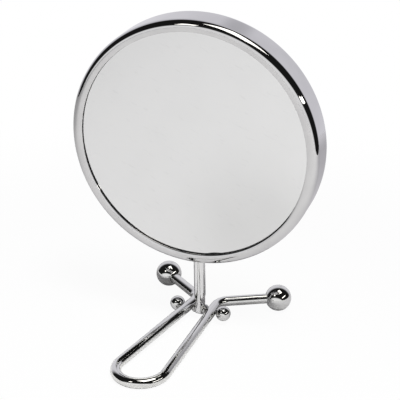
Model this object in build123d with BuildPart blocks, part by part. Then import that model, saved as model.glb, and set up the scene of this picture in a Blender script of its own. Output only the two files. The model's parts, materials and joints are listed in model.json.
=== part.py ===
"""A folding hand and stand mirror: a two-sided round head on a stem, pinned at the waist of a wire handle.

Millimetres, +Z up, front towards -Y. The origin is on the table, in the middle of the mirror's footprint.
"""

import os
from math import acos, asin, atan2, cos, degrees, hypot, radians, sin, sqrt, tan

from build123d import *

# Head: a rolled rim round two glasses
head_diameter = 150.0
head_depth = 23.0
rim_wall = 0.6
shoulder_radius = 4.3
bezel_slope = 28.0
bezel_width = 6.9
glass_thickness = 2.0
glass_edge_gap = 0.5
gasket_thickness = 0.6
gasket_setback = 0.1
magnifier_radius = 900.0
spacer_width = 5.0
spacer_edge_gap = 0.5
board_thickness = 3.0
board_edge_gap = 0.6

# Stem: a round bar, flattened to a tab at the hinge and threaded at the rim
head_rise = 111.5
head_turn = 7.0
head_lean = 0.45
stem_diameter = 7.0
tab_thickness = 4.2
tab_flat_rise = 7.7
tab_taper_rise = 2.8
thread_diameter = 4.0
thread_end = 0.7
saddle_length = 22.0
saddle_thickness = 1.6
saddle_edge_gap = 0.2
spring_washer_glass_gap = 3.76
spring_washer_thickness = 0.9
spring_washer_slit = 0.8
nut_glass_gap = 4.06
nut_height = 3.2

# Hinge: a pin through the tab, closed by two balls
pin_diameter = 3.0
pin_ball_diameter = 9.2
pin_ball_socket = 5.5
friction_washer_diameter = 5.0
friction_washer_thickness = 0.4
bead_diameter = 6.2
bead_face_diameter = 4.8

# Handle: one wire, with a loop in front, a waist at the pin and two arms behind
wire_diameter = 6.2
loop_reach = 89.9
loop_radius = 14.9
leg_spacing = 16.0
waist_back = 12.0
arm_bend_radius = 10.0
foot_ball_diameter = 16.4
foot_spacing = 77.4
foot_back = 32.0
foot_socket = 7.0
foot_socket_mouth = 0.5

# Fits
press_fit = 0.02
running_fit = 0.05
seat_fit = 0.05

# Radii
head_radius = head_diameter / 2
rim_inner_radius = head_radius - rim_wall
wire_radius = wire_diameter / 2
pin_radius = pin_diameter / 2
stem_radius = stem_diameter / 2
thread_radius = thread_diameter / 2
foot_ball_radius = foot_ball_diameter / 2
pin_ball_radius = pin_ball_diameter / 2

# The wire lies in one plane, which rises from the loop, flat on the table, to the balls' centres
handle_tilt = asin((foot_ball_radius - wire_radius) / (loop_reach + foot_back))
pin_height = wire_radius + loop_reach * sin(handle_tilt)
front_edge = loop_reach * cos(handle_tilt) + wire_radius
back_edge = foot_back * cos(handle_tilt) + foot_ball_radius
pin_back = (front_edge - back_edge) / 2
up = Vector(0, -sin(handle_tilt), cos(handle_tilt))
rearward = Vector(0, cos(handle_tilt), sin(handle_tilt))
rightward = Vector(1, 0, 0)

# Planes at the hinge: the handle's own plane, and an upright one square to the pin
hinge_point = Vector(0, pin_back, pin_height)
hinge = Plane(origin=hinge_point, x_dir=rightward, z_dir=up)
hinge_side = Plane(origin=hinge_point, x_dir=rearward, z_dir=rightward)
pin_axis = Axis(hinge_point, rightward)

# Planes of the stem, which leans back a little from square to the wire: across it, forwards and sideways
stem_tilt = handle_tilt - radians(head_lean)
stem_up = Vector(0, -sin(stem_tilt), cos(stem_tilt))
stem_rear = Vector(0, cos(stem_tilt), sin(stem_tilt))
stem_across = Plane(origin=hinge_point, x_dir=rightward, z_dir=stem_up)
stem_front = Plane(origin=hinge_point, x_dir=rightward, z_dir=-stem_rear)
stem_side = Plane(origin=hinge_point, x_dir=stem_rear, z_dir=rightward)

# Planes of the head, which is turned a little on its stem: Y to the rear, and one facing forwards
head_right = rightward * cos(radians(head_turn)) + stem_rear * sin(radians(head_turn))
head_rear = stem_rear * cos(radians(head_turn)) - rightward * sin(radians(head_turn))
head_centre = hinge_point + stem_up * head_rise
head = Plane(origin=head_centre, x_dir=head_right, z_dir=stem_up)
head_face = Plane(origin=head_centre, x_dir=head_right, z_dir=-head_rear)
head_axis = Axis(head_centre, head_rear)
rim_foot = Plane(origin=hinge_point + stem_up * (head_rise - head_radius), x_dir=head_right, z_dir=stem_up)

# The rim's section: a round shoulder between the band and the sloping bezel
slope = radians(bezel_slope)
shoulder_r = head_radius - shoulder_radius
shoulder_y = head_depth / 2 - shoulder_radius
bend_inner = shoulder_radius - rim_wall
bezel_r = head_radius - bezel_width
bezel_outer_end = shoulder_r - shoulder_radius * sin(slope), shoulder_y + shoulder_radius * cos(slope)
bezel_inner_end = shoulder_r - bend_inner * sin(slope), shoulder_y + bend_inner * cos(slope)
bezel_tip = bezel_r, bezel_outer_end[1] - (bezel_outer_end[0] - bezel_r) * tan(slope)
bezel_heel = bezel_r + rim_wall * sin(slope), bezel_tip[1] - rim_wall * cos(slope)

# The stack inside the rim, measured from the head's middle
glass_outer_y = bezel_heel[1] - gasket_thickness
glass_inner_y = glass_outer_y - glass_thickness
glass_rise = max(glass_outer_y - shoulder_y, 0)
glass_radius = shoulder_r + sqrt(bend_inner**2 - glass_rise**2) - glass_edge_gap
spacer_radius = glass_radius - spacer_edge_gap
spacer_inner_radius = spacer_radius - spacer_width
spring_washer_radius = glass_inner_y - spring_washer_glass_gap
nut_inradius = glass_inner_y - nut_glass_gap
saddle_half_width = min(glass_inner_y - saddle_edge_gap, shoulder_y)

# The stack on the stem's thread, measured from the rim's foot
saddle_face = rim_wall + seat_fit + saddle_thickness
nut_face = saddle_face + spring_washer_thickness
thread_length = nut_face + nut_height + thread_end
board_radius = min(spacer_inner_radius, head_radius - thread_length) - board_edge_gap

# The wire's plan in the handle's plane, for the right half
loop_back = loop_reach - loop_radius
leg_half = leg_spacing / 2
leg_angle = atan2(loop_back, leg_half) - acos(loop_radius / hypot(leg_half, loop_back))
leg_start = loop_radius * cos(leg_angle), loop_radius * sin(leg_angle) - loop_back
waist = leg_half - waist_back * tan(leg_angle), waist_back
foot = foot_spacing / 2, foot_back
arm_length = hypot(foot[0] - waist[0], foot[1] - waist[1])
arm_x = (foot[0] - waist[0]) / arm_length
arm_y = (foot[1] - waist[1]) / arm_length
arm_short = foot_ball_radius - foot_socket + seat_fit
arm_end = foot[0] - arm_x * arm_short, foot[1] - arm_y * arm_short

# The stack on the pin, measured from the middle
wire_half_width = wire_radius / cos(leg_angle)
washer_start = tab_thickness / 2 + seat_fit
bead_start = washer_start + friction_washer_thickness
bead_face_radius = bead_face_diameter / 2
bead_end = leg_half - wire_half_width - bead_face_radius * tan(leg_angle) - seat_fit
pin_ball_at = leg_half + wire_half_width + pin_ball_radius
pin_half_length = pin_ball_at - pin_ball_radius + pin_ball_socket - seat_fit

os.makedirs("parts", exist_ok=True)


def save(piece, name):
    """Labels a finished piece and writes it under the same name."""
    piece.part.label = name
    export_step(piece.part, f"parts/{name}.step")


# Rim: the band, shoulders and bezel lips are one rolled channel, with a hole below for the stem's thread
with BuildPart() as rim_band:
    with BuildSketch(head):
        with BuildLine():
            Line((head_radius, 0), (head_radius, shoulder_y))
            CenterArc((shoulder_r, shoulder_y), shoulder_radius, 0, 90 + bezel_slope)
            Polyline(bezel_outer_end, bezel_tip, bezel_heel, bezel_inner_end)
            CenterArc((shoulder_r, shoulder_y), bend_inner, 0, 90 + bezel_slope)
            Polyline((rim_inner_radius, shoulder_y), (rim_inner_radius, 0), (head_radius, 0))
        make_face()
        mirror(about=Plane.XZ)
    revolve(axis=head_axis)
    with BuildSketch(rim_foot):
        Circle(thread_radius + press_fit)
    extrude(amount=2 * rim_wall, both=True, mode=Mode.SUBTRACT)
save(rim_band, "rim_band")

# Front glass: a flat silvered disc
with BuildPart() as front_glass:
    with BuildSketch(head_face.offset(glass_inner_y)):
        Circle(glass_radius)
    extrude(amount=glass_thickness)
save(front_glass, "front_glass")

# Rear glass: a concave magnifying disc with a flat land at its edge, where the spacer ring meets it
dish_angle = degrees(asin(spacer_inner_radius / magnifier_radius))
dish_depth = magnifier_radius - sqrt(magnifier_radius**2 - spacer_inner_radius**2)
with BuildPart() as rear_glass:
    with BuildSketch(head):
        with BuildLine():
            dish_outer = JernArc((0, glass_outer_y - dish_depth), (1, 0), magnifier_radius, dish_angle)
            dish_inner = JernArc((0, glass_inner_y - dish_depth), (1, 0), magnifier_radius, dish_angle)
            Polyline(
                dish_outer @ 1,
                (glass_radius, glass_outer_y),
                (glass_radius, glass_inner_y),
                dish_inner @ 1,
            )
            Line(dish_inner @ 0, dish_outer @ 0)
        make_face()
    revolve(axis=head_axis)
save(rear_glass, "rear_glass")

# Gaskets: wedge rings that fill the corner between each glass and its bezel lip, as far as the lip's edge
gasket_r = bezel_r + gasket_setback
gasket_heel_r = max(bezel_heel[0], gasket_r)
gasket_top = bezel_heel[1] + (gasket_heel_r - bezel_heel[0]) * tan(slope) - seat_fit
with BuildPart() as rear_gasket:
    with BuildSketch(head):
        with BuildLine():
            Polyline(
                (gasket_r, glass_outer_y),
                (gasket_r, gasket_top),
                (gasket_heel_r + seat_fit, gasket_top + seat_fit * tan(slope)),
                (bezel_inner_end[0], bezel_inner_end[1] - seat_fit),
                (shoulder_r, glass_outer_y),
                close=True,
            )
        make_face()
    revolve(axis=head_axis)
save(rear_gasket, "rear_gasket")

with BuildPart() as front_gasket:
    add(mirror(rear_gasket.part, about=Plane(origin=head_centre, z_dir=head_rear), mode=Mode.PRIVATE))
save(front_gasket, "front_gasket")

# Spacer ring: holds the two glasses apart, with a gap below for the saddle and the nut
with BuildPart() as spacer_ring:
    with BuildSketch(head_face):
        Circle(spacer_radius)
        Circle(spacer_inner_radius, mode=Mode.SUBTRACT)
        with Locations((0, -spacer_radius)):
            Rectangle(saddle_length + 2 * spacer_edge_gap, 4 * spacer_width, mode=Mode.SUBTRACT)
    extrude(amount=glass_inner_y, both=True)
save(spacer_ring, "spacer_ring")

# Backing board: a card disc behind the front glass
with BuildPart() as backing_board:
    with BuildSketch(head_face.offset(glass_inner_y - board_thickness)):
        Circle(board_radius)
    extrude(amount=board_thickness)
save(backing_board, "backing_board")

# Saddle: a plate curved to the inside of the rim, with a flat for the spring washer
saddle_radius = rim_inner_radius - seat_fit
with BuildPart() as stem_saddle:
    with BuildSketch(head_face):
        Circle(saddle_radius)
        with Locations((0, -saddle_radius)):
            Rectangle(saddle_length, 2 * saddle_thickness, mode=Mode.INTERSECT)
    extrude(amount=saddle_half_width, both=True)
    with BuildSketch(rim_foot):
        Circle(thread_radius + press_fit)
    extrude(amount=2 * saddle_face, mode=Mode.SUBTRACT)
save(stem_saddle, "stem_saddle")

# Spring washer: a split ring under the nut
with BuildPart() as spring_washer:
    with BuildSketch(rim_foot.offset(saddle_face)):
        Circle(spring_washer_radius)
        Circle(thread_radius + press_fit, mode=Mode.SUBTRACT)
        with Locations((spring_washer_radius, 0)):
            Rectangle(2 * spring_washer_radius, spring_washer_slit, mode=Mode.SUBTRACT)
    extrude(amount=spring_washer_thickness)
save(spring_washer, "spring_washer")

# Nut: its flats face the two glasses
with BuildPart() as stem_nut:
    with BuildSketch(rim_foot.offset(nut_face)):
        RegularPolygon(nut_inradius, 6, major_radius=False)
        Circle(thread_radius + press_fit, mode=Mode.SUBTRACT)
    extrude(amount=nut_height)
save(stem_nut, "stem_nut")

# Stem: a bar with a round-ended tab below and a thread above
stem_top = head_rise - head_radius
with BuildPart() as stem:
    with BuildSketch(stem_across.offset(stem_top)):
        Circle(stem_radius)
    extrude(amount=-(stem_top + stem_radius))
    with BuildSketch(stem_side):
        Circle(stem_radius)
        with Locations((0, stem_top / 2)):
            Rectangle(stem_diameter, stem_top)
    extrude(amount=stem_radius, both=True, mode=Mode.INTERSECT)
    with BuildSketch(stem_front):
        with BuildLine():
            Polyline(
                (tab_thickness / 2, -stem_diameter),
                (tab_thickness / 2, tab_flat_rise),
                (stem_radius, tab_flat_rise + tab_taper_rise),
                (stem_diameter, tab_flat_rise + tab_taper_rise),
                (stem_diameter, -stem_diameter),
                close=True,
            )
        make_face()
        mirror(about=Plane.YZ)
    extrude(amount=stem_radius, both=True, mode=Mode.SUBTRACT)
    with BuildSketch(stem_side):
        Circle(pin_radius + running_fit)
    extrude(amount=tab_thickness, both=True, mode=Mode.SUBTRACT)
    with BuildSketch(stem_across.offset(stem_top)):
        Circle(thread_radius)
    extrude(amount=thread_length)
save(stem, "stem")

# Hinge pin
with BuildPart() as hinge_pin:
    with BuildSketch(hinge_side):
        Circle(pin_radius)
    extrude(amount=pin_half_length, both=True)
save(hinge_pin, "hinge_pin")

# Handle: the wire is swept along its plan, from the left foot round the loop to the right foot
with BuildPart() as handle_wire:
    with BuildLine(hinge) as wire_plan:
        CenterArc((0, -loop_back), loop_radius, -90, 90 + degrees(leg_angle))
        FilletPolyline(leg_start, waist, arm_end, radius=arm_bend_radius)
        mirror(about=Plane.YZ)
    wire_path = wire_plan.wire()
    with BuildSketch(Plane(origin=wire_path @ 0, z_dir=wire_path % 0)):
        Circle(wire_radius)
    sweep(path=wire_path)
    with BuildSketch(hinge_side):
        Circle(pin_radius + press_fit)
    extrude(amount=pin_half_length, both=True, mode=Mode.SUBTRACT)
save(handle_wire, "handle_wire")

# The pieces that come in pairs, one on each side of the stem
foot_bore = wire_radius + press_fit
foot_mouth = foot_bore + foot_socket_mouth
foot_mouth_y = sqrt(foot_ball_radius**2 - foot_mouth**2)
pin_bore = pin_radius + press_fit
pin_mouth_y = sqrt(pin_ball_radius**2 - pin_bore**2)
for side, sign in (("left", -1), ("right", 1)):
    # Friction washer, between the tab and the bead
    with BuildPart() as friction_washer:
        with BuildSketch(hinge_side.offset(sign * washer_start)):
            Circle(friction_washer_diameter / 2)
            Circle(pin_radius + press_fit, mode=Mode.SUBTRACT)
        extrude(amount=sign * friction_washer_thickness)
    save(friction_washer, f"{side}_friction_washer")

    # Spacer bead, a small barrel between the washer and the wire
    with BuildPart() as spacer_bead:
        with BuildSketch(hinge):
            with BuildLine():
                barrel = ThreePointArc(
                    (sign * bead_start, bead_face_radius),
                    (sign * (bead_start + bead_end) / 2, bead_diameter / 2),
                    (sign * bead_end, bead_face_radius),
                )
                Polyline(
                    barrel @ 0,
                    (sign * bead_start, pin_radius + press_fit),
                    (sign * bead_end, pin_radius + press_fit),
                    barrel @ 1,
                )
            make_face()
        revolve(axis=pin_axis)
    save(spacer_bead, f"{side}_spacer_bead")

    # Pin ball, pressed on the pin's end against the wire
    pin_ball_centre = hinge_point + rightward * (sign * pin_ball_at)
    pin_ball_plane = Plane(origin=pin_ball_centre, x_dir=up, z_dir=rearward * -sign)
    pin_socket_y = pin_ball_radius - pin_ball_socket
    with BuildPart() as pin_ball:
        with BuildSketch(pin_ball_plane):
            with BuildLine():
                CenterArc((0, 0), pin_ball_radius, -90, 90 + degrees(acos(pin_bore / pin_ball_radius)))
                Polyline(
                    (pin_bore, pin_mouth_y),
                    (pin_bore, pin_socket_y),
                    (0, pin_socket_y),
                    (0, -pin_ball_radius),
                )
            make_face()
        revolve(axis=pin_axis)
    save(pin_ball, f"{side}_pin_ball")

    # Foot ball, bored to take the end of the arm
    arm_direction = rightward * (sign * arm_x) + rearward * arm_y
    foot_centre = hinge_point + rightward * (sign * foot[0]) + rearward * foot[1]
    foot_plane = Plane(origin=foot_centre, x_dir=up, z_dir=up.cross(-arm_direction))
    foot_socket_y = foot_ball_radius - foot_socket
    with BuildPart() as foot_ball:
        with BuildSketch(foot_plane):
            with BuildLine():
                CenterArc((0, 0), foot_ball_radius, -90, 90 + degrees(acos(foot_mouth / foot_ball_radius)))
                Polyline(
                    (foot_mouth, foot_mouth_y),
                    (foot_bore, foot_mouth_y - foot_socket_mouth),
                    (foot_bore, foot_socket_y),
                    (0, foot_socket_y),
                    (0, -foot_ball_radius),
                )
            make_face()
        revolve(axis=Axis(foot_centre, arm_direction))
    save(foot_ball, f"{side}_foot_ball")
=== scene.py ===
# %% [markdown]
# # A folding hand and stand mirror
# A round chrome head with a glass on each side stands on one bent wire. The wire's loop and two balls make
# the stand, and a pin at its narrow waist lets the head swing until the wire is in line with it as a handle.
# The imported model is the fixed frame. Each step below replaces a plain solid with a finely modelled piece,
# or gives the solid itself a better finish.

# %% Load the frame
import json
import math

import bmesh
import bpy
from bmesh.types import BMEdge, BMVert
from mathutils import Matrix, Vector


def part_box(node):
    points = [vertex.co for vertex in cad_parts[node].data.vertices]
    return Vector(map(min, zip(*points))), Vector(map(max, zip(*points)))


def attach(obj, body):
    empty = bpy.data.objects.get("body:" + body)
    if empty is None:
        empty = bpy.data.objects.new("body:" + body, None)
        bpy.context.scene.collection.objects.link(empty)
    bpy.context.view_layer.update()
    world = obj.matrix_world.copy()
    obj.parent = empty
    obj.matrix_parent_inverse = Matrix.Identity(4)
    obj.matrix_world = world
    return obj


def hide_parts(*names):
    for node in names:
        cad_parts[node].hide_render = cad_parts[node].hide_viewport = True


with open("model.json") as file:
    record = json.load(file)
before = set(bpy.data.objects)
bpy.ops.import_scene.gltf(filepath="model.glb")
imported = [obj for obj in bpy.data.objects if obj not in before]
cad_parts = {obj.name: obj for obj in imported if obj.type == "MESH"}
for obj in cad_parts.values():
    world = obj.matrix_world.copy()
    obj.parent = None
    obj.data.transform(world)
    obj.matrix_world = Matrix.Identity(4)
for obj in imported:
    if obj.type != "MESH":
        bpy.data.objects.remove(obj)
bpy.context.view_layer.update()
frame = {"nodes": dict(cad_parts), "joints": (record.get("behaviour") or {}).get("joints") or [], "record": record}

mm = 0.001

# %% [markdown]
# ## The object's own axes
# The wire leans a little, because its loop lies on the table and its other end is raised on balls. The stem
# stands nearly square to the wire, and the head is turned a little on the stem. Pieces are easiest to model
# square and at the origin, and a matrix then takes them to their place. The hinge gives the pin's place. The
# line from it to a foot ball gives the wire's plane, and the line from it to the middle of the rim's box is
# the stem's.

# %% Axes of the handle and of the head
hinge_point = Vector(frame["joints"][0]["pos_m"])
foot_low, foot_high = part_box("left_foot_ball")
rim_low, rim_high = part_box("rim_band")
to_foot = (foot_low + foot_high) / 2 - hinge_point
head_centre = (rim_low + rim_high) / 2
head_turn = math.radians(7)
right = Vector((1, 0, 0))
rear = Vector((0, to_foot.y, to_foot.z)).normalized()
up = right.cross(rear)
stem_up = (head_centre - hinge_point).normalized()
stem_rear = stem_up.cross(right)
head_right = right * math.cos(head_turn) + stem_rear * math.sin(head_turn)
head_rear = stem_rear * math.cos(head_turn) - right * math.sin(head_turn)


def place_at(origin, right_side, rear_side, top_side):
    """The matrix that takes a piece's own right, rear and top to the frame, at an origin."""
    turn = Matrix((right_side, rear_side, top_side)).transposed().to_4x4()
    return Matrix.Translation(origin) @ turn


hinge_place = place_at(hinge_point, right, rear, up)
head_place = place_at(head_centre, head_right, head_rear, stem_up)
print("The wire rises", round(math.degrees(math.asin(rear.z)), 2), "degrees to the rear")
print("The stem leans", round(math.degrees(math.asin(-stem_up.y)), 2), "degrees to the front")
print("The head's middle is", round((head_centre - hinge_point).length / mm, 2), "mm above the pin")

# %% [markdown]
# ## Nodes as sums
# A finish is a small sum, such as a least roughness plus a share of some haze. Blender writes such sums as
# boxes and wires. This class wraps one output of a box, so that a plus or a times in Python adds the Math
# node for it, and one method makes every other kind of node.

# %% A socket that takes part in arithmetic
def fill(node, values):
    """Sets a node's sockets to values, or links them to other sockets."""
    for key, value in values.items():
        if isinstance(value, Socket):
            value.tree.links.new(value.output, node.inputs[key])
        else:
            node.inputs[key].default_value = value


class Socket:
    """One output socket of a node tree."""

    def __init__(self, tree, output):
        self.tree = tree
        self.output = output

    def node(self, kind, settings, values, take=0):
        """Adds a node, sets its settings and then its sockets, and returns the output that is named."""
        made = self.tree.nodes.new(kind)
        for key, setting in settings.items():
            setattr(made, key, setting)
        fill(made, values)
        return Socket(self.tree, made.outputs[take]) if made.outputs else None

    def math(self, operation, first, second):
        """A Math node on two values or sockets."""
        return self.node("ShaderNodeMath", {"operation": operation}, {0: first, 1: second})

    def __add__(self, other):
        return self.math("ADD", self, other)

    def __radd__(self, other):
        return self.math("ADD", other, self)

    def __sub__(self, other):
        return self.math("SUBTRACT", self, other)

    def __rsub__(self, other):
        return self.math("SUBTRACT", other, self)

    def __mul__(self, other):
        return self.math("MULTIPLY", self, other)

    def __rmul__(self, other):
        return self.math("MULTIPLY", other, self)

    def measure(self, operation, other):
        """One value, such as a distance, from these coordinates and a point or a direction."""
        return self.node("ShaderNodeVectorMath", {"operation": operation}, {0: self, 1: other}, take="Value")

    def along(self, axis):
        """These coordinates along one axis."""
        return self.node("ShaderNodeSeparateXYZ", {}, {"Vector": self}, take=axis)

    def noise(self, grain, detail, stretch=(1, 1, 1), turn=(0, 0, 0)):
        """Noise with spots about one grain wide, which are longer where stretch is above 1."""
        spot = [grain * longer for longer in stretch]
        scaled = self.node(
            "ShaderNodeMapping",
            {"vector_type": "TEXTURE"},
            {"Vector": self, "Scale": spot, "Rotation": turn},
        )
        return self.node("ShaderNodeTexNoise", {}, {"Vector": scaled, "Scale": 1.0, "Detail": detail})

    def between(self, low, high, to_low=0.0, to_high=1.0):
        """This value, moved smoothly from one range to another."""
        return self.node(
            "ShaderNodeMapRange",
            {"interpolation_type": "SMOOTHSTEP"},
            {"Value": self, "From Min": low, "From Max": high, "To Min": to_low, "To Max": to_high},
        )

    def tint(self, first, second):
        """A colour that goes from the first to the second as this value goes from 0 to 1."""
        start, end = [colour if isinstance(colour, Socket) else (*colour, 1) for colour in (first, second)]
        return self.node("ShaderNodeMix", {"data_type": "RGBA"}, {"Factor": self, 6: start, 7: end}, take=2)

    def bump(self, height):
        """The normal of a surface that this value raises by up to a height."""
        return self.node("ShaderNodeBump", {}, {"Height": self, "Distance": height, "Strength": 1.0})


# %% Starting a finish
def source(tree, kind, take):
    """The named output of a new node that needs no input."""
    return Socket(tree, tree.nodes.new(kind).outputs[take])


def start_finish(name):
    """A new material with its shader, and the object coordinates to paint it by."""
    material = bpy.data.materials.new(name)
    material.use_nodes = True
    tree = material.node_tree
    print("Finish:", name)
    return material, tree.nodes["Principled BSDF"], source(tree, "ShaderNodeTexCoord", "Object")


# %% [markdown]
# ## Chrome
# Chrome plate is a bright metal with hardly any colour of its own, so it shows its surroundings. What tells
# it from a perfect mirror is small: the polished steel below it is a little wavy, handling leaves a faint
# haze, and fine wiping marks spread a highlight. The wave is a bump a few millimetres long, and the haze and
# the marks go into roughness. Waves in the mesh itself would need far more faces for the same look.

# %% Chrome finish
cloud_size = 14 * mm
cloud_range = (0.3, 0.7)
haze_size = 5 * mm
haze_range = (0.5, 0.85)
haze_rough = 0.02
wiping_size = 0.9 * mm
wiping_stretch = (9, 9, 1)
wiping_range = (0.62, 0.8)
wiping_rough = 0.012


def chrome(name, pale, drop, grain, rough, wave):
    """Polished chrome, with a tint that drops in clouds, a least roughness, and a wave's grain and height."""
    material, shader, place = start_finish(name)
    deep = [part - drop for part in pale]
    cloud = place.noise(cloud_size, detail=3).between(*cloud_range)
    haze = place.noise(haze_size, detail=4).between(*haze_range)
    wiping = place.noise(wiping_size, detail=2, stretch=wiping_stretch).between(*wiping_range)
    finish = {
        "Base Color": cloud.tint(pale, deep),
        "Metallic": 1.0,
        "Roughness": rough + haze * haze_rough + wiping * wiping_rough,
        "Normal": place.noise(grain, detail=1).bump(wave),
    }
    fill(shader, finish)
    return material


# Each part gets its own copy of the chrome, its pale tint painted lighter or darker as painted light and shade:
# the stem's is lightest, the beads' darkest.
rim_chrome = chrome(
    "rim_chrome", pale=(0.645, 0.642, 0.648), drop=0.04, grain=9 * mm, rough=0.03, wave=0.004 * mm
)
stem_chrome = chrome(
    "stem_chrome", pale=(0.82, 0.82, 0.82), drop=0.04, grain=6 * mm, rough=0.03, wave=0.002 * mm
)
wire_chrome = chrome(
    "wire_chrome", pale=(0.755, 0.757, 0.747), drop=0.05, grain=6 * mm, rough=0.03, wave=0.002 * mm
)
ball_chrome = chrome(
    "ball_chrome", pale=(0.72, 0.721, 0.712), drop=0.05, grain=4 * mm, rough=0.025, wave=0.001 * mm
)
bead_chrome = chrome(
    "bead_chrome", pale=(0.56, 0.56, 0.56), drop=0.05, grain=3 * mm, rough=0.03, wave=0.001 * mm
)

# %% [markdown]
# ## Silvered glass
# A bathroom mirror is glass with silver behind it. It sends back about three quarters of the light. A cloth
# leaves fine slanted marks, and one broad soft patch low on the right makes the tint darker and the glass a
# little hazier. A clear coat over a metal stands for the glass over its silver, because clear glass with a
# second face behind it would render slowly and look the same. The film and the patch go into the tint and the
# roughness.

# %% Mirror finish
silver_clean = (0.785, 0.788, 0.792)
silver_darkened = (0.685, 0.688, 0.692)
silver_rough = 0.004
mark_size = 1.5 * mm
mark_stretch = (4.5, 4.5, 1)
mark_slant = math.radians(26)
mark_range = (0.6, 0.78)
mark_share = 0.4
veil_size = 24 * mm
veil_range = (0.35, 0.75)
veil_share = 0.12
# A soft round patch low on the right makes the tint darker and the glass a little hazier.
dark_patch_right = 37 * mm
dark_patch_down = 44 * mm
dark_patch_core = 10 * mm
dark_patch_reach = 58 * mm
dark_patch_share = 0.75
film_rough = 0.012
dark_patch_middle = head_centre + head_right * dark_patch_right - stem_up * dark_patch_down


def silvered(name):
    """Silvered glass with a faint veil, slanted wiping marks, and a patch low on the right that is darker and
    hazier.
    """
    material, shader, place = start_finish(name)
    slanted = place.noise(mark_size, detail=3, stretch=mark_stretch, turn=(0, mark_slant, 0))
    marks = slanted.between(*mark_range)
    veil = place.noise(veil_size, detail=2).between(*veil_range)
    dark_patch = place.measure("DISTANCE", dark_patch_middle).between(dark_patch_core, dark_patch_reach, 1.0, 0.0)
    film_and_patch = marks * mark_share + veil * veil_share + dark_patch * dark_patch_share
    finish = {
        "Base Color": film_and_patch.tint(silver_clean, silver_darkened),
        "Metallic": 1.0,
        "Roughness": silver_rough + film_and_patch * film_rough,
        "Coat Weight": 0.3,
        "Coat Roughness": 0.01,
    }
    fill(shader, finish)
    return material


flat_mirror = silvered("flat_mirror")
magnifying_mirror = silvered("magnifying_mirror")

# %% [markdown]
# ## Finishes that hardly show
# The gaskets show only as a dark line under the bezel, and the rest is shut in the head or inside the hinge.
# They get finishes of their own all the same, because the parts can be taken apart. Rubber, moulded plastic,
# card and plain steel differ only in tint, grain and shine, so one function makes them all.

# %% Rubber, plastic, card and plain steel
speckle_range = (0.3, 0.7)


def plain(name, pale, deep, grain, metallic, rough, rough_spread, bump_height, specular=0.5):
    """A dull finish: two tints in a grain, with a matching roughness and bump."""
    material, shader, place = start_finish(name)
    speckle = place.noise(grain, detail=4)
    finish = {
        "Base Color": speckle.between(*speckle_range).tint(pale, deep),
        "Metallic": metallic,
        "Roughness": rough + speckle * rough_spread,
        "Specular IOR Level": specular,
        "Normal": speckle.bump(bump_height),
    }
    fill(shader, finish)
    return material


plain_finishes = {
    "gasket_rubber": plain(
        "gasket_rubber", pale=(0.008, 0.008, 0.008), deep=(0.004, 0.004, 0.004), grain=0.6 * mm,
        metallic=0, rough=0.6, rough_spread=0.3, bump_height=0.03 * mm, specular=0.15,
    ),
    "spacer_plastic": plain(
        "spacer_plastic", pale=(0.78, 0.77, 0.73), deep=(0.7, 0.69, 0.65), grain=2 * mm,
        metallic=0, rough=0.4, rough_spread=0.2, bump_height=0.02 * mm,
    ),
    "backing_card": plain(
        "backing_card", pale=(0.47, 0.4, 0.32), deep=(0.36, 0.3, 0.24), grain=1.2 * mm,
        metallic=0, rough=0.8, rough_spread=0.15, bump_height=0.08 * mm,
    ),
    "plain_steel": plain(
        "plain_steel", pale=(0.62, 0.62, 0.61), deep=(0.5, 0.5, 0.5), grain=0.8 * mm,
        metallic=1, rough=0.25, rough_spread=0.2, bump_height=0.01 * mm,
    ),
    "washer_nylon": plain(
        "washer_nylon", pale=(0.86, 0.86, 0.82), deep=(0.78, 0.78, 0.74), grain=0.7 * mm,
        metallic=0, rough=0.35, rough_spread=0.2, bump_height=0.01 * mm,
    ),
}
for part in frame["record"]["subparts"]:
    if part["material_slot"] in plain_finishes:
        solid = frame["nodes"][part["node"]]
        solid.material_slots[0].material = plain_finishes[part["material_slot"]]
        print(part["node"], "is finished as", part["material_slot"])

# %% [markdown]
# ## Drawing a section and turning it
# Most pieces here are turned or rolled, so their shape is a section and an axis. A section starts as one
# vertex. Pulling the vertex along makes a straight run, and spinning it about a point makes an arc. Spinning
# the finished section about the axis makes the piece. This keeps every curve round at any size, which chrome
# shows at once. A ready-made cylinder or torus would have to be bent into shape afterwards.

# %% Section tools
touching = 0.001 * mm


def only(kind, parts):
    """The parts of one kind, such as the vertices, out of what an operator made."""
    return [part for part in parts if isinstance(part, kind)]


def begin(x, y):
    """A new bmesh with the first point of a section, which lies in the plane of right and rear."""
    section = bmesh.new()
    return section, section.verts.new((x, y, 0))


def run_to(section, point, *stops):
    """Straight runs from a section's last point, from stop to stop."""
    for x, y in stops:
        point = bmesh.ops.extrude_vert_indiv(section, verts=[point])["verts"][0]
        point.co = (x, y, 0)
    return point


def arc_about(section, point, x, y, degrees, steps):
    """An arc from a section's last point about a centre, anticlockwise where degrees is positive."""
    spun = bmesh.ops.spin(
        section, geom=[point], cent=(x, y, 0), axis=(0, 0, 1), angle=math.radians(degrees), steps=steps
    )
    return only(BMVert, spun["geom_last"])[0]


def mirrored(shape, axis):
    """Adds the other half of a shape, on the far side of the origin along an axis."""
    geometry = shape.verts[:] + shape.edges[:] + shape.faces[:]
    bmesh.ops.mirror(shape, geom=geometry, axis=axis, merge_dist=touching)
    bmesh.ops.remove_doubles(shape, verts=shape.verts, dist=touching)
    return shape


def turned(section, steps):
    """Spins a section once round the axis that runs to the rear, and closes its poles."""
    bmesh.ops.spin(
        section,
        geom=section.verts[:] + section.edges[:],
        cent=(0, 0, 0),
        axis=(0, 1, 0),
        angle=math.tau,
        steps=steps,
        use_merge=True,
    )
    bmesh.ops.remove_doubles(section, verts=section.verts, dist=touching)
    return section


# %% Putting a piece in its place
sharp_from = math.radians(35)


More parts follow.
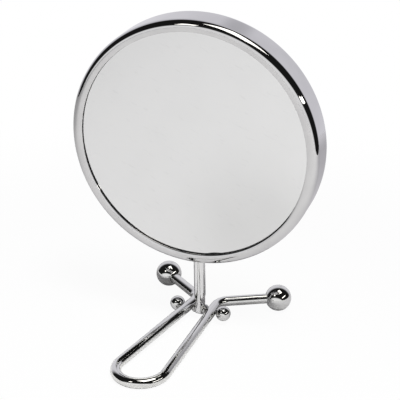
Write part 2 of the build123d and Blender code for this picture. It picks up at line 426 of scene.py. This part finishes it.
def finish_piece(shape, name, place, body, node, material):
    """Closes a shape, takes it to its place, and lets it stand for a solid of the frame."""
    bmesh.ops.remove_doubles(shape, verts=shape.verts, dist=touching)
    bmesh.ops.transform(shape, matrix=place, verts=shape.verts)
    bmesh.ops.recalc_face_normals(shape, faces=shape.faces)
    mesh = bpy.data.meshes.new(name)
    shape.to_mesh(mesh)
    shape.free()
    mesh.shade_smooth()
    mesh.set_sharp_from_angle(angle=sharp_from)
    mesh.materials.append(material)
    piece = bpy.data.objects.new(name, mesh)
    bpy.context.scene.collection.objects.link(piece)
    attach(piece, body)
    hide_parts(node)
    print(name, "has", len(mesh.polygons), "faces and stands for", node)


# %% [markdown]
# ## Cutting and drilling
# Some pieces are drilled or filed after they are bent or turned. A Boolean modifier does the same work: one
# mesh is the piece and the other is the tool. Moving vertices to the edge of a hole would need no tool, but
# the edge would come out ragged. Beside a hole the mesh gets a hold line, so that the cut can't disturb the
# shading further on.

# %% Cutting tools
drill_sides = 48


def cut_by(shape, tool, operation):
    """What a Boolean modifier leaves of a shape."""
    objects = []
    for made in (shape, tool):
        bmesh.ops.recalc_face_normals(made, faces=made.faces)
        mesh = bpy.data.meshes.new("cut")
        made.to_mesh(mesh)
        made.free()
        objects.append(bpy.data.objects.new("cut", mesh))
        bpy.context.scene.collection.objects.link(objects[-1])
    boolean = objects[0].modifiers.new("cut", "BOOLEAN")
    boolean.operation = operation
    boolean.solver = "EXACT"
    boolean.object = objects[1]
    result = bmesh.new()
    result.from_object(objects[0], bpy.context.evaluated_depsgraph_get())
    for done in objects:
        bpy.data.objects.remove(done)
    return result


def drilled(shape, radius, middle, way, depth):
    """A shape with a round hole about a middle point, along a direction."""
    drill = bmesh.new()
    drill_place = Matrix.Translation(middle) @ Vector(way).to_track_quat("Z", "Y").to_matrix().to_4x4()
    bmesh.ops.create_cone(
        drill,
        cap_ends=True,
        segments=drill_sides,
        radius1=radius,
        radius2=radius,
        depth=depth,
        matrix=drill_place,
    )
    faces_before = len(shape.faces)
    result = cut_by(shape, drill, "DIFFERENCE")
    print("A hole of", round(2 * radius / mm, 2), "mm adds", len(result.faces) - faces_before, "faces")
    return result


# %% [markdown]
# ## The rim
# On the real mirror a strip of thin steel is rolled into a channel: a flat band outside, a round shoulder on
# each edge, and a bezel that slopes in to hold the glass. The lip's edge is polished round. Half of the
# section is drawn, mirrored and turned. A subdivided torus would be quicker, but it would not keep the band
# flat and the bezel straight. The hole at the bottom takes the stem's thread.

# %% Sizes of the rim
head_radius = 75 * mm
head_half_depth = 11.5 * mm
rim_wall = 0.6 * mm
shoulder_radius = 4.3 * mm
bezel_slope = math.radians(28)
bezel_width = 6.9 * mm
thread_hole = 2.02 * mm
hole_hold = 2.6 * mm
hold = 0.1 * mm
head_steps = 240
inner_radius = head_radius - rim_wall
shoulder_x = head_radius - shoulder_radius
shoulder_y = head_half_depth - shoulder_radius
bezel_in = Vector((-math.cos(bezel_slope), -math.sin(bezel_slope)))
bezel_out = Vector((-math.sin(bezel_slope), math.cos(bezel_slope)))
bend_end = Vector((shoulder_x, shoulder_y)) + bezel_out * shoulder_radius
bezel_length = (bend_end.x - (head_radius - bezel_width)) / math.cos(bezel_slope) - rim_wall / 2
nose = bend_end + bezel_in * bezel_length
nose_centre = nose - bezel_out * rim_wall / 2
nose_end = nose - bezel_out * rim_wall
inner_bend_end = bend_end - bezel_out * rim_wall
shoulder_turn = 90 + math.degrees(bezel_slope)
print("The bezel slopes for", round(bezel_length / mm, 2), "mm after its bend")

# %% Rim
section, point = begin(head_radius, 0)
band_stops = [(head_radius, y) for y in (hole_hold, shoulder_y - hold, shoulder_y)]
point = run_to(section, point, *band_stops)
point = arc_about(section, point, shoulder_x, shoulder_y, degrees=shoulder_turn, steps=26)
point = run_to(section, point, bend_end + bezel_in * hold, nose - bezel_in * hold, nose)
point = arc_about(section, point, *nose_centre, degrees=180, steps=10)
point = run_to(section, point, nose_end - bezel_in * hold, inner_bend_end + bezel_in * hold, inner_bend_end)
point = arc_about(section, point, shoulder_x, shoulder_y, degrees=-shoulder_turn, steps=14)
inner_stops = [(inner_radius, y) for y in (shoulder_y - hold, hole_hold, 0)]
run_to(section, point, *inner_stops)
rim = turned(mirrored(section, "Y"), head_steps)
rim = drilled(rim, thread_hole, middle=(0, 0, -head_radius), way=(0, 0, 1), depth=4 * rim_wall)
finish_piece(rim, "rolled_rim", head_place, "head", "rim_band", rim_chrome)

# %% [markdown]
# ## The two glasses
# The front glass is flat. The rear one is dished, so that it magnifies, and keeps a flat land at its edge to
# sit on. Both have a ground edge. Each is turned from its section, with a hold line beside the ground edge,
# because without one the smooth shading of the edge would spread into the flat and bend its reflections.

# %% Sizes of the glasses
glass_thickness = 2 * mm
gasket_thickness = 0.6 * mm
glass_edge_gap = 0.5 * mm
land_width = 5.5 * mm
ground_edge = 0.3 * mm
dish_radius = 900 * mm
lip_heel = bend_end + bezel_in * (bezel_length + rim_wall / 2) - bezel_out * rim_wall
glass_outer = lip_heel.y - gasket_thickness
glass_inner = glass_outer - glass_thickness
channel = math.sqrt((shoulder_radius - rim_wall) ** 2 - (glass_outer - shoulder_y) ** 2)
glass_radius = shoulder_x + channel - glass_edge_gap
land_start = glass_radius - land_width
dish_angle = math.asin(land_start / dish_radius)
dish_depth = dish_radius * (1 - math.cos(dish_angle))
print("The glasses are", round(2 * glass_radius / mm, 2), "mm across")
print("The rear one is dished by", round(dish_depth / mm, 2), "mm")

# %% Front and rear glass
def glass_edge(section, point, side):
    """The ground edge of a glass, from its outer to its inner face. Side is 1 behind and -1 in front."""
    stops = (
        (glass_radius - ground_edge - hold, side * glass_outer),
        (glass_radius - ground_edge, side * glass_outer),
        (glass_radius, side * (glass_outer - ground_edge)),
        (glass_radius, side * (glass_inner + ground_edge)),
        (glass_radius - ground_edge, side * glass_inner),
        (glass_radius - ground_edge - hold, side * glass_inner),
    )
    return run_to(section, point, *stops)


section, point = begin(0, -glass_outer)
point = glass_edge(section, point, side=-1)
run_to(section, point, (0, -glass_inner))
flat = turned(section, head_steps)
finish_piece(flat, "flat_glass", head_place, "head", "front_glass", flat_mirror)

outer_centre = glass_outer - dish_depth + dish_radius
inner_centre = glass_inner - dish_depth + dish_radius
section, point = begin(0, glass_outer - dish_depth)
point = arc_about(section, point, 0, outer_centre, degrees=math.degrees(dish_angle), steps=40)
point = glass_edge(section, point, side=1)
point = run_to(section, point, (land_start, glass_inner))
arc_about(section, point, 0, inner_centre, degrees=-math.degrees(dish_angle), steps=40)
dished = turned(section, head_steps)
finish_piece(dished, "dished_glass", head_place, "head", "rear_glass", magnifying_mirror)

# %% [markdown]
# ## The wire
# One steel wire is bent into the loop, the two legs and the two arms. A ring of vertices travels along that
# path: a spin takes it round a bend and an extrusion takes it along a straight run. Half of the wire is made
# and mirrored, and both legs are drilled for the pin. A curve with a round bevel would do too, but its bends
# would be split into straight steps of uneven length.

# %% Path of the wire
wire_radius = 3.1 * mm
loop_radius = 14.9 * mm
loop_back = 75 * mm
leg_half = 8 * mm
waist_back = 12 * mm
bend_radius = 10 * mm
foot_x = 38.7 * mm
foot_y = 32 * mm
foot_radius = 8.2 * mm
foot_socket = 7 * mm
pin_bore = 1.52 * mm
pin_hold = 2 * mm
leg_angle = math.atan2(loop_back, leg_half) - math.acos(loop_radius / math.hypot(leg_half, loop_back))
leg_start = Vector((loop_radius * math.cos(leg_angle), loop_radius * math.sin(leg_angle) - loop_back))
waist = Vector((leg_half - waist_back * math.tan(leg_angle), waist_back))
foot = Vector((foot_x, foot_y))
leg_way = (waist - leg_start).normalized()
arm_way = (foot - waist).normalized()
waist_turn = leg_way.angle(arm_way)
bend_run = bend_radius * math.tan(waist_turn / 2)
bend_start = waist - leg_way * bend_run
before_pin = waist - leg_way * (waist_back + pin_hold) / leg_way.y
after_pin = waist - leg_way * (waist_back - pin_hold) / leg_way.y
bend_centre = bend_start + Vector((leg_way.y, -leg_way.x)) * bend_radius
arm_start = waist + arm_way * bend_run
arm_end = foot - arm_way * (foot_radius - foot_socket)
print("Each leg leans in by", round(math.degrees(leg_angle), 2), "degrees")
print("The waist turns it out by", round(math.degrees(waist_turn), 2), "degrees")


# %% Bent wire
def spin_ring(wire, ring, centre, angle, steps):
    """Takes a ring of the wire round a bend, which is clockwise from above where the angle is negative."""
    made = bmesh.ops.spin(
        wire, geom=ring, cent=(*centre, 0), axis=(0, 0, 1), angle=angle, steps=steps, use_merge=False
    )
    return only((BMVert, BMEdge), made["geom_last"])


def run_ring(wire, ring, way, steps):
    """Takes a ring of the wire along a straight run."""
    for _ in range(steps):
        made = bmesh.ops.extrude_edge_only(wire, edges=only(BMEdge, ring))
        ring = only((BMVert, BMEdge), made["geom"])
        bmesh.ops.translate(wire, vec=(*(way / steps), 0), verts=only(BMVert, ring))
    return ring


wire = bmesh.new()
wire_sides = 48
loop_front = Vector((0, -loop_back - loop_radius, 0))
ring_place = Matrix.Translation(loop_front) @ Matrix.Rotation(math.pi / 2, 4, "Y")
bmesh.ops.create_circle(wire, cap_ends=False, segments=wire_sides, radius=wire_radius, matrix=ring_place)
ring = wire.verts[:] + wire.edges[:]
ring = spin_ring(wire, ring, Vector((0, -loop_back)), angle=math.pi / 2 + leg_angle, steps=48)
ring = run_ring(wire, ring, before_pin - leg_start, steps=10)
ring = run_ring(wire, ring, after_pin - before_pin, steps=1)
ring = run_ring(wire, ring, bend_start - after_pin, steps=1)
ring = spin_ring(wire, ring, bend_centre, angle=-waist_turn, steps=20)
ring = run_ring(wire, ring, arm_end - arm_start, steps=6)
bmesh.ops.edgeloop_fill(wire, edges=only(BMEdge, ring))
wire = drilled(mirrored(wire, "X"), pin_bore, middle=(0, 0, 0), way=(1, 0, 0), depth=4 * leg_half)
finish_piece(wire, "bent_wire", hinge_place, "stand", "handle_wire", wire_chrome)

# %% [markdown]
# ## The balls and the beads
# Each ball is bored and pressed on: the large ones on the wire's ends, the small ones on the pin. A bored
# ball is a section of an arc and a hole, turned about the hole. The beads beside the stem are short barrels,
# turned about the pin. A ready-made sphere would still need its hole cut and the hole's mouth bevelled.

# %% Shapes of the balls and the beads
press_gap = 0.02 * mm
foot_mouth = 0.5 * mm
pin_ball_radius = 4.6 * mm
pin_ball_socket = 5.5 * mm
pin_mouth = 0.15 * mm
bead_start = 2.55 * mm
bead_face = 2.4 * mm
bead_radius = 3.1 * mm
bead_gap = 0.05 * mm
foot_bore = wire_radius + press_gap
wire_half_width = wire_radius / math.cos(leg_angle)
pin_ball_x = leg_half + wire_half_width + pin_ball_radius
bead_end = leg_half - wire_half_width - bead_face * math.tan(leg_angle) - bead_gap
print("The beads are", round((bead_end - bead_start) / mm, 2), "mm long")


def bored_ball(radius, bore, socket, mouth):
    """A ball with its hole towards the rear, and a small chamfer at the hole's mouth."""
    mouth_radius = bore + mouth
    mouth_y = math.sqrt(radius**2 - mouth_radius**2)
    sweep = 90 + math.degrees(math.atan2(mouth_y, mouth_radius))
    section, point = begin(0, -radius)
    point = arc_about(section, point, 0, 0, degrees=sweep, steps=64)
    run_to(section, point, (bore, mouth_y - mouth), (bore, radius - socket), (0, radius - socket))
    return turned(section, steps=128)


def barrel(start, end):
    """A bead between two places on its axis, bulging in the middle."""
    middle = (start + end) / 2
    half = (end - start) / 2
    rise = bead_radius - bead_face
    bulge = (half**2 + rise**2) / (2 * rise)
    sweep = 2 * math.degrees(math.asin(half / bulge))
    section, point = begin(pin_bore, start)
    point = run_to(section, point, (bead_face, start))
    point = arc_about(section, point, bead_radius - bulge, middle, degrees=sweep, steps=24)
    run_to(section, point, (pin_bore, end), (pin_bore, start))
    return turned(section, steps=96)


# %% Balls and beads on both sides
for side, sign in (("left", -1), ("right", 1)):
    arm = right * (sign * arm_way.x) + rear * arm_way.y
    foot_centre = hinge_point + right * (sign * foot_x) + rear * foot_y
    foot_place = place_at(foot_centre, -arm.cross(up), -arm, up)
    finish_piece(
        bored_ball(foot_radius, foot_bore, foot_socket, foot_mouth),
        f"{side}_foot", foot_place, "stand", f"{side}_foot_ball", ball_chrome,
    )
    cap_centre = hinge_point + right * (sign * pin_ball_x)
    cap_place = place_at(cap_centre, rear * sign, right * -sign, up)
    finish_piece(
        bored_ball(pin_ball_radius, pin_bore, pin_ball_socket, pin_mouth),
        f"{side}_pin_cap", cap_place, "stand", f"{side}_pin_ball", ball_chrome,
    )
    bead_place = place_at(hinge_point, rear * -sign, right * sign, up)
    finish_piece(
        barrel(bead_start, bead_end),
        f"{side}_bead", bead_place, "stand", f"{side}_spacer_bead", bead_chrome,
    )

# %% [markdown]
# ## The stem
# A round bar is threaded at its top, filed flat on two sides at its foot, rounded at the end and drilled for
# the pin. The bar and its thread are turned. The filing is done with the cutting tools: what stays is inside
# a front profile and inside a side profile, and outside the pin's bore. Pressing the vertices of a cylinder
# flat would be shorter, but the edges of the flats would come out ragged.

# %% Turned bar
stem_radius = 3.5 * mm
stem_top = 36.5 * mm
stem_chamfer = 0.25 * mm
thread_radius = 2 * mm
thread_root = 1.65 * mm
thread_pitch = 0.7 * mm
thread_length = 7.05 * mm
thread_top = stem_top + thread_length

bar, point = begin(0, -stem_radius)
point = run_to(bar, point, (stem_radius, -stem_radius), (stem_radius, stem_top - stem_chamfer))
point = run_to(bar, point, (stem_radius - stem_chamfer, stem_top), (thread_root, stem_top))
for turn in range(int(thread_length / thread_pitch)):
    ridge_foot = stem_top + turn * thread_pitch
    ridge = (thread_radius, ridge_foot + thread_pitch / 2)
    point = run_to(bar, point, ridge, (thread_root, ridge_foot + thread_pitch))
run_to(bar, point, (thread_root, thread_top), (0, thread_top))
bar = turned(bar, steps=96)
print("The bar is", round((thread_top + stem_radius) / mm, 1), "mm long with its thread")

# %% Filing and drilling
tab_half = 2.1 * mm
flat_rise = 7.7 * mm
taper_rise = 2.8 * mm
stem_bore = 1.55 * mm
beyond = 6 * mm
wing_rise = beyond / 4
profile_top = 2 * stem_top
taper_end = flat_rise + taper_rise


def prism(outline, depth):
    """A closed outline in the plane of right and rear, drawn out to both sides of it."""
    face = bmesh.ops.edgeloop_fill(outline, edges=outline.edges[:])["faces"]
    bmesh.ops.translate(outline, vec=(0, 0, -depth), verts=outline.verts)
    drawn = bmesh.ops.extrude_face_region(outline, geom=face)["geom"]
    bmesh.ops.translate(outline, vec=(0, 0, 2 * depth), verts=only(BMVert, drawn))
    return outline


front_profile, point = begin(0, -beyond)
point = run_to(front_profile, point, (tab_half, -beyond), (tab_half, flat_rise), (stem_radius, taper_end))
run_to(front_profile, point, (beyond, taper_end), (beyond, profile_top), (0, profile_top))
flats = prism(mirrored(front_profile, "X"), beyond)
bar = cut_by(bar, flats, "INTERSECT")

side_profile, point = begin(0, -stem_radius)
point = arc_about(side_profile, point, 0, 0, degrees=90, steps=24)
run_to(side_profile, point, (beyond, wing_rise), (beyond, profile_top), (0, profile_top))
rounding = prism(mirrored(side_profile, "X"), beyond)
quarter_turn = Matrix.Rotation(math.pi / 2, 3, "Y")
bmesh.ops.rotate(rounding, cent=(0, 0, 0), matrix=quarter_turn, verts=rounding.verts)
bar = cut_by(bar, rounding, "INTERSECT")

bar = drilled(bar, stem_bore, middle=(0, 0, 0), way=(1, 0, 0), depth=2 * beyond)
stem_place = place_at(hinge_point, right, stem_up, -stem_rear)
finish_piece(bar, "filed_stem", stem_place, "head", "stem", stem_chrome)

# %% [markdown]
# ## The floor and the light
# Chrome has no look without something to mirror. The mirror stands on a white table that ends on the right,
# before a pale backdrop with a small dim opening. The room above, in front and to the right is dark. That
# dark gives chrome its black lines, and three soft lamps in it give the highlights. A fourth lamp lights the
# table alone, so that the shadows on it show in the chrome. For the camera the floor glows, so that it is
# white, and it keeps a faint shadow near the object. In reflections it is lit paper with painted shade: its
# colour is painted darker to the left and behind the object, and paler again where it meets the backdrop.
# A picture of a studio wrapped round the scene would light it too, but no value in it could then be changed by
# itself.

# %% Floor shape
floor_reach = 1.0
floor_sides = 64
floor_right = 0.45
floor_back = 0.55
right_slant = 0.12
floor_shape = bmesh.new()
bmesh.ops.create_circle(floor_shape, cap_ends=True, segments=floor_sides, radius=floor_reach)
for edge_place, edge_way in (((floor_right, 0, 0), (1, right_slant, 0)), ((0, floor_back, 0), (0, 1, 0))):
    bmesh.ops.bisect_plane(
        floor_shape,
        geom=floor_shape.verts[:] + floor_shape.edges[:] + floor_shape.faces[:],
        plane_co=edge_place,
        plane_no=edge_way,
        clear_outer=True,
    )
floor_mesh = bpy.data.meshes.new("floor")
floor_shape.to_mesh(floor_mesh)
floor_shape.free()
floor = bpy.data.objects.new("floor", floor_mesh)
bpy.context.scene.collection.objects.link(floor)
print("The floor has", len(floor_mesh.vertices), "corners")

# %% Floor paper
# Where the paper's painted shade starts and ends, behind and to the left, and where it turns paler at the back, in
# metres.
painted_shade_start = -0.12
painted_shade_end = 0.26
back_start = 0.38
left_start = -0.12
left_end = -0.45
shadow_start = 0.16
shadow_end = 0.42
shadow_most = 0.05
glow_in_chrome = 0.04
white = (1, 1, 1)
paper_white = (0.9, 0.9, 0.9)
paper_painted_shade = (0.575, 0.568, 0.597)
paper_back = (0.85, 0.84, 0.885)
paper_painted_shade_left = (0.62, 0.62, 0.62)

floor_white = bpy.data.materials.new("floor_white")
floor_white.use_nodes = True
floor_tree = floor_white.node_tree
floor_tree.nodes.clear()
camera_ray = source(floor_tree, "ShaderNodeLightPath", "Is Camera Ray")
glossy_ray = source(floor_tree, "ShaderNodeLightPath", "Is Glossy Ray")
floor_place = source(floor_tree, "ShaderNodeTexCoord", "Object")
from_middle = floor_place.measure("DISTANCE", (0, 0, 0))
shadow_share = from_middle.between(shadow_start, shadow_end, shadow_most, 0.0)
seen = camera_ray * (1 - shadow_share) + glossy_ray * glow_in_chrome
to_right = floor_place.along("X")
to_back = floor_place.along("Y")
# Painted shade: the paper's colour goes darker behind the mirror and to the left, and paler again near the
# backdrop.
painted_paper = to_back.between(painted_shade_start, painted_shade_end).tint(paper_white, paper_painted_shade)
painted_paper = to_back.between(back_start, floor_back).tint(painted_paper, paper_back)
painted_paper = to_right.between(left_end, left_start).tint(paper_painted_shade_left, painted_paper)
paper = seen.node("ShaderNodeBsdfDiffuse", {}, {"Color": painted_paper})
glow = seen.node("ShaderNodeEmission", {}, {"Color": camera_ray.tint(painted_paper, white), "Strength": 1.0})
mixed = seen.node("ShaderNodeMixShader", {}, {0: seen, 1: paper, 2: glow})
mixed.node("ShaderNodeOutputMaterial", {}, {"Surface": mixed})
floor_mesh.materials.append(floor_white)
print("The paper goes from", paper_white, "to", paper_painted_shade, "behind the mirror")


# %% Surroundings
def way_to(azimuth, elevation):
    """The direction at an azimuth, counted from the front to the right, and an elevation, in degrees."""
    turn = math.radians(azimuth)
    rise = math.radians(elevation)
    return Vector((math.sin(turn) * math.cos(rise), -math.cos(turn) * math.cos(rise), math.sin(rise)))


world = bpy.data.worlds.new("studio")
bpy.context.scene.world = world
world.use_nodes = True
world_tree = world.node_tree
world_tree.nodes.clear()
direction = source(world_tree, "ShaderNodeTexCoord", "Generated")
to_camera = source(world_tree, "ShaderNodeLightPath", "Is Camera Ray")


def pale_round(middle, edge, softness):
    """A value of 1 within an angle of a direction, given as the angle's cosine, with a soft edge."""
    facing = direction.measure("DOT_PRODUCT", middle)
    print("A round", round(math.degrees(math.acos(edge)), 1), "degrees from its middle to its edge")
    return facing.between(edge - softness, edge + softness)


room_dark = (0.012, 0.012, 0.012)
backdrop_white = (0.795, 0.785, 0.83)
opening_share = 0.26
backdrop = pale_round(way_to(azimuth=204.8, elevation=-3.2), edge=0.515, softness=0.17)
opening = pale_round(way_to(azimuth=191, elevation=31), edge=0.992, softness=0.0065)
table_front = pale_round(way_to(azimuth=7, elevation=-36.2), edge=0.526, softness=0.07)
room = (backdrop * (1 - opening_share * opening)).tint(room_dark, backdrop_white)
room = table_front.tint(room, white)
sky = to_camera.tint(room, white)
background = direction.node("ShaderNodeBackground", {}, {"Color": sky, "Strength": 1.0})
background.node("ShaderNodeOutputWorld", {}, {"Surface": background})

# %% Lamps
warm_white = (1, 0.975, 0.92)


def soft_lamp(name, azimuth, elevation, wide, high, radiance, roll=0, lamp_distance=1.0, in_chrome=True):
    """A soft box that faces the object, with its width and height in degrees and its distance in metres."""
    way = way_to(azimuth, elevation)
    light = bpy.data.lights.new(name, "AREA")
    light.shape = "RECTANGLE"
    light.color = warm_white if in_chrome else white
    light.size = 2 * lamp_distance * math.tan(math.radians(wide / 2))
    light.size_y = 2 * lamp_distance * math.tan(math.radians(high / 2))
    light.energy = radiance * math.pi * light.size * light.size_y
    lamp = bpy.data.objects.new(name, light)
    lamp.location = head_centre + way * lamp_distance
    facing = way.to_track_quat("Z", "Y").to_matrix() @ Matrix.Rotation(math.radians(roll), 3, "Z")
    lamp.rotation_euler = facing.to_euler()
    bpy.context.scene.collection.objects.link(lamp)
    lamp.visible_camera = False
    lamp.visible_glossy = in_chrome
    print(name, "gives", round(light.energy, 2), "W")


soft_lamp("overhead_box", azimuth=62, elevation=74, wide=35, high=34, radiance=2.6)
soft_lamp("right_box", azimuth=82, elevation=17.5, wide=38, high=4.5, radiance=4.0, roll=8)
soft_lamp("front_box", azimuth=-17, elevation=36, wide=9, high=12, radiance=2.5)
soft_lamp(
    "table_box", azimuth=52, elevation=66, wide=16, high=16, radiance=28.6, lamp_distance=2.5, in_chrome=False
)

# %% [markdown]
# ## The camera
# The photograph looks down at the mirror from the front right with a long lens. The values were found by
# fitting the ellipse of the head, the loop and the balls. A camera further off with a longer lens would show
# the same sides, but the loop in front would come out too small.

# %% Camera
camera_azimuth = 26.44
camera_elevation = 23.73
camera_distance = 0.7254
camera_target = Vector((0, 0.026375, 0.070))
towards_camera = way_to(camera_azimuth, camera_elevation)
lens = bpy.data.cameras.new("camera")
lens.sensor_width = 36
lens.lens = 109.08
lens.shift_x = -0.0006
lens.shift_y = 0.037
camera = bpy.data.objects.new("camera", lens)
camera.location = camera_target + towards_camera * camera_distance
camera.rotation_euler = towards_camera.to_track_quat("Z", "Y").to_euler()
bpy.context.scene.collection.objects.link(camera)
bpy.context.scene.camera = camera
bpy.context.scene.view_settings.view_transform = "Standard"
print("The camera is at", [round(value, 3) for value in camera.location])
